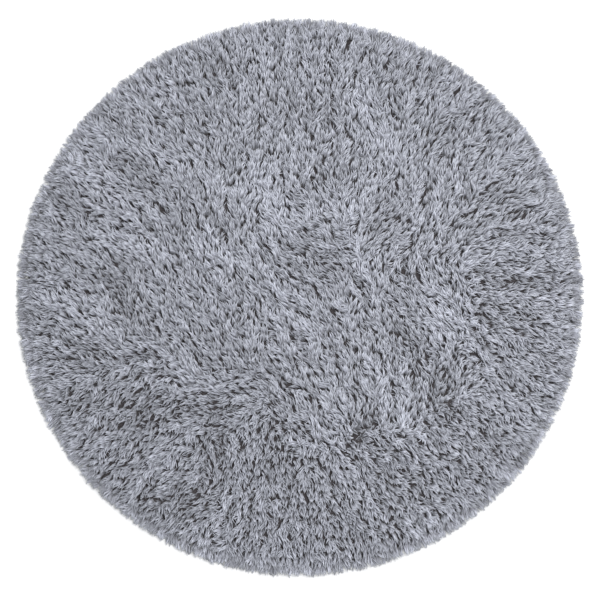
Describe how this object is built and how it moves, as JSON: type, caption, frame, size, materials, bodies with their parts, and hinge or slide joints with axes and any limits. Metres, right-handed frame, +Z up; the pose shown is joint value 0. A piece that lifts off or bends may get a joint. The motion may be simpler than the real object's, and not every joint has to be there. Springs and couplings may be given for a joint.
{
  "type": "shag rug",
  "caption": "Round shag rug lying flat, its long clumped pile leaning in swirls over the middle and falling outwards in locks over the edge.",
  "frame": {"origin": "middle of the flat underside, on the surface that the rug lies on", "axes": "+Z up out of the pile, +Y towards the far edge in the picture, +X to the picture's right"},
  "size_m": [1.1977, 1.1974, 0.0415],
  "materials": {
    "pile": "soft grey-blue shag pile of fine fibres, light tips and darker roots",
    "ground_cloth": "plain woven ground cloth under the pile, seen only from below"
  },
  "bodies": {
    "root": {"shag_rug": "pile"}
  },
  "joints": []
}
